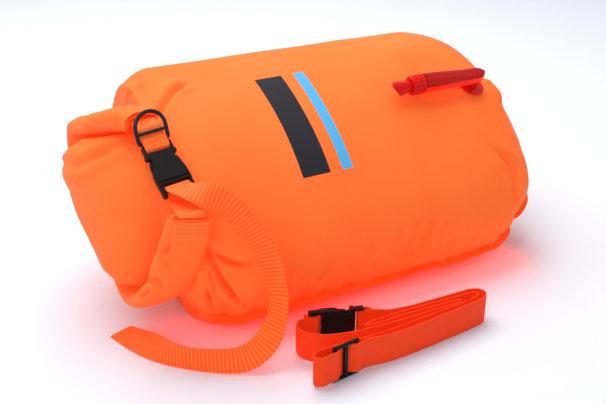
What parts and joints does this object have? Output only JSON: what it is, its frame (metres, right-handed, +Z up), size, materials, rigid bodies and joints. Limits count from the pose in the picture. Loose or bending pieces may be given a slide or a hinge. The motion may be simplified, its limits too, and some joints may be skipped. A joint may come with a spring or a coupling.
{
  "type": "open water swim buoy",
  "caption": "Inflatable tow float dry bag with twin air chambers, a roll closure with buckle and tether ring, oral valves, and a folded waist belt beside it.",
  "frame": {"origin": "on the floor under the back chamber, at the middle of the bag's length between mouth and base, where the bag lies", "axes": "+X from the rolled mouth to the base of the bag, +Z up, +Y away from the belt that lies in front"},
  "size_m": [0.4146, 0.3048, 0.178],
  "materials": {
    "shell": "satin fluorescent orange coated fabric, welded",
    "liner": "satin coated fabric, welded edge",
    "web": "matt woven webbing",
    "belt": "matt woven webbing",
    "strip": "plain",
    "acetal": "satin moulded black",
    "ring": "smooth moulded black",
    "tube": "glossy red soft vinyl",
    "mouth": "glossy red vinyl",
    "seal": "matt",
    "wire": "drawn wire"
  },
  "bodies": {
    "buoy": {"front_chamber": "shell", "back_chamber": "shell", "dry_pouch": "liner", "neck": "shell", "roll_top": "shell", "mouth_stiffener": "strip", "anchor_webbing": "web", "buckle_socket": "acetal", "buckle_insert": "acetal", "closure_strap": "web", "valve_flange_front": "tube", "valve_stem_front": "tube", "valve_flange_back": "tube", "valve_stem_back": "tube", "belt_socket": "acetal", "belt_insert": "acetal", "belt_slider": "acetal", "belt_webbing": "belt"},
    "d_ring": {"d_ring": "ring"},
    "buckle_arm_left": {"buckle_arm_left": "acetal"},
    "buckle_arm_right": {"buckle_arm_right": "acetal"},
    "belt_arm_left": {"belt_arm_left": "acetal"},
    "belt_arm_right": {"belt_arm_right": "acetal"},
    "hose_front": {"valve_hose_front": "tube", "valve_spring_front": "wire"},
    "collar_front": {"valve_collar_front": "mouth"},
    "mouthpiece_front": {"valve_mouthpiece_front": "mouth", "valve_seal_front": "seal"},
    "hose_back": {"valve_hose_back": "tube", "valve_spring_back": "wire"},
    "collar_back": {"valve_collar_back": "mouth"},
    "mouthpiece_back": {"valve_mouthpiece_back": "mouth", "valve_seal_back": "seal"}
  },
  "joints": [
    {"name": "d_ring_lift", "type": "hinge", "parent": "buoy", "child": "d_ring", "pos_m": [-0.18033, 0.0017, 0.15395], "axis": [0.9917, 0.111, 0.0654], "range_deg": [0, 60]},
    {"name": "buckle_squeeze_left", "type": "hinge", "parent": "buoy", "child": "buckle_arm_left", "pos_m": [-0.16853, -0.02308, 0.13328], "axis": [0.0178, -0.621, 0.7836], "range_deg": [0, 8], "stiffness_Nm_per_rad": 0.004, "springref_deg": -8.59},
    {"name": "buckle_squeeze_right", "type": "hinge", "parent": "buoy", "child": "buckle_arm_right", "pos_m": [-0.18361, -0.02477, 0.13229], "axis": [0.0178, -0.621, 0.7836], "range_deg": [-8, 0]},
    {"name": "belt_squeeze_left", "type": "hinge", "parent": "buoy", "child": "belt_arm_left", "pos_m": [-0.08689, -0.09655, 0.0067], "axis": [-0.2419, -0.9703, 0], "range_deg": [0, 8], "stiffness_Nm_per_rad": 0.004, "springref_deg": -8.59},
    {"name": "belt_squeeze_right", "type": "hinge", "parent": "buoy", "child": "belt_arm_right", "pos_m": [-0.08689, -0.09655, 0.0269], "axis": [-0.2419, -0.9703, 0], "range_deg": [-8, 0]},
    {"name": "hose_lift_front", "type": "hinge", "parent": "buoy", "child": "hose_front", "pos_m": [0.1258, 0.00448, 0.15598], "axis": [0, 0.8616, 0.5075], "range_deg": [0, 40], "stiffness_Nm_per_rad": 0.05, "springref_deg": -17.19},
    {"name": "collar_turn_front", "type": "hinge", "parent": "hose_front", "child": "collar_front", "pos_m": [0.05467, 0.00099, 0.16192], "axis": [-0.9976, 0.0354, -0.0601], "range_deg": [0, 90]},
    {"name": "mouthpiece_press_front", "type": "slide", "parent": "hose_front", "child": "mouthpiece_front", "axis": [0.9976, -0.0354, 0.0601], "range_m": [0, 0.003], "stiffness_N_per_m": 200, "springref_m": -0.004, "deforming": ["valve_spring_front"]},
    {"name": "hose_lift_back", "type": "hinge", "parent": "buoy", "child": "hose_back", "pos_m": [0.1258, 0.08752, 0.01502], "axis": [0, -0.8616, -0.5075], "range_deg": [0, 40], "stiffness_Nm_per_rad": 0.05, "springref_deg": -17.19},
    {"name": "collar_turn_back", "type": "hinge", "parent": "hose_back", "child": "collar_back", "pos_m": [0.05467, 0.09101, 0.00908], "axis": [-0.9976, -0.0354, 0.0601], "range_deg": [0, 90]},
    {"name": "mouthpiece_press_back", "type": "slide", "parent": "hose_back", "child": "mouthpiece_back", "axis": [0.9976, 0.0354, -0.0601], "range_m": [0, 0.003], "stiffness_N_per_m": 200, "springref_m": -0.004, "deforming": ["valve_spring_back"]}
  ],
  "couplings": [
    {"joint": "buckle_squeeze_right", "follows": "buckle_squeeze_left", "ratio": -1},
    {"joint": "belt_squeeze_right", "follows": "belt_squeeze_left", "ratio": -1}
  ]
}
